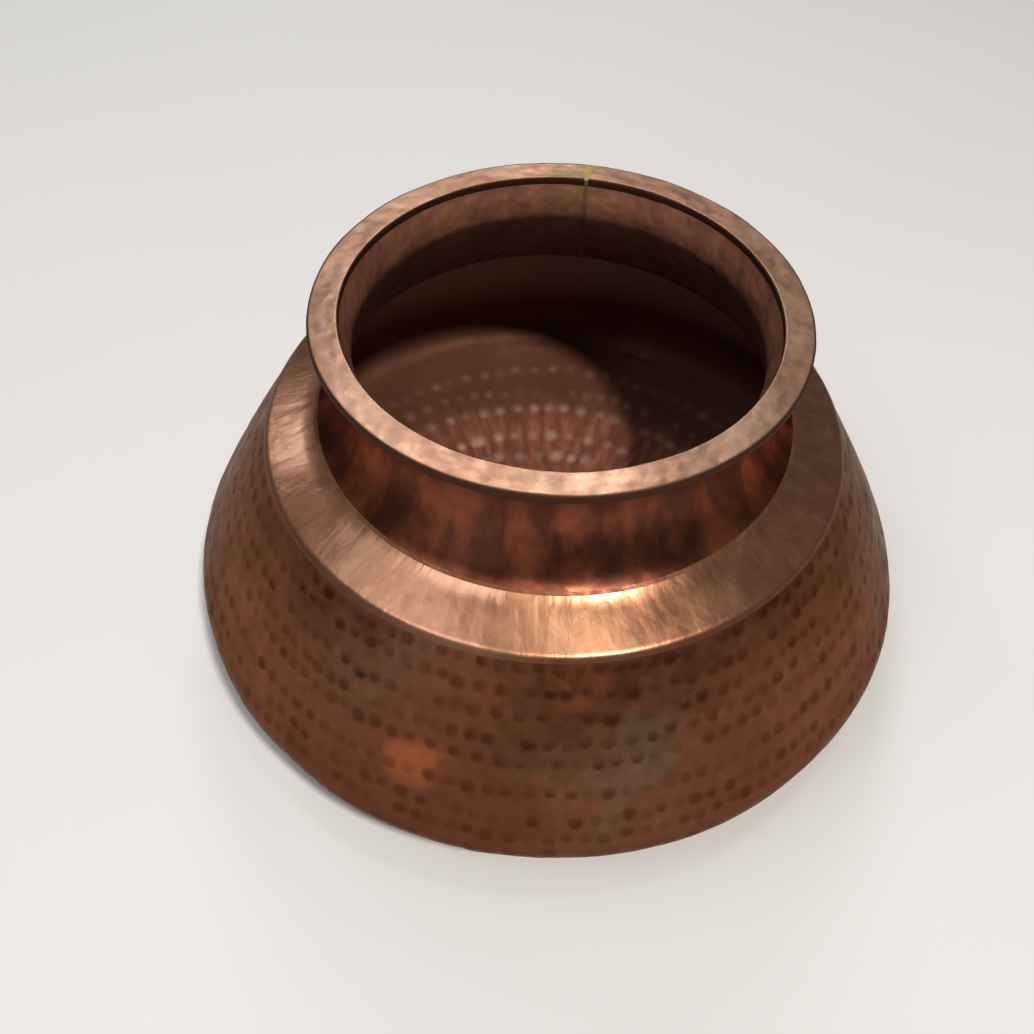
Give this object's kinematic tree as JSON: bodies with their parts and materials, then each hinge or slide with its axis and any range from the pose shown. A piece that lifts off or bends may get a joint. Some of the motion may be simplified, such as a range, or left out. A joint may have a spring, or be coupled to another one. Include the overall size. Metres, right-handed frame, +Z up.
{
  "type": "hammered copper cooking pot",
  "caption": "Wide hammered copper handi pot: dished base, cone belly, sloping shoulder, waisted neck and flat rim ring, brazed with brass.",
  "frame": {"origin": "middle of the flat underside that the pot stands on", "axes": "+Z up along the pot's axis of revolution; -Y faces the viewer and the rim's seam is at the back"},
  "size_m": [0.435, 0.4348, 0.24],
  "materials": {
    "rim_copper": "satin copper, filed flat and worn pale",
    "neck_copper": "dark oxidised copper, planished in upright facets",
    "shoulder_copper": "bright planished copper",
    "belly_copper": "hammered copper with brown tarnish and round dimples",
    "base_copper": "hammered copper, dull and scuffed",
    "brass_braze": "brass filler left as it flowed, filed where it shows"
  },
  "bodies": {
    "root": {"rim_ring": "rim_copper", "neck_collar": "neck_copper", "shoulder_ring": "shoulder_copper", "belly_wall": "belly_copper", "base_bowl": "base_copper", "rim_joint_braze": "brass_braze", "neck_joint_braze": "brass_braze", "rim_seat_braze": "brass_braze", "neck_root_braze": "brass_braze", "shoulder_seam_braze": "brass_braze", "belly_seam_braze": "brass_braze"}
  },
  "joints": []
}
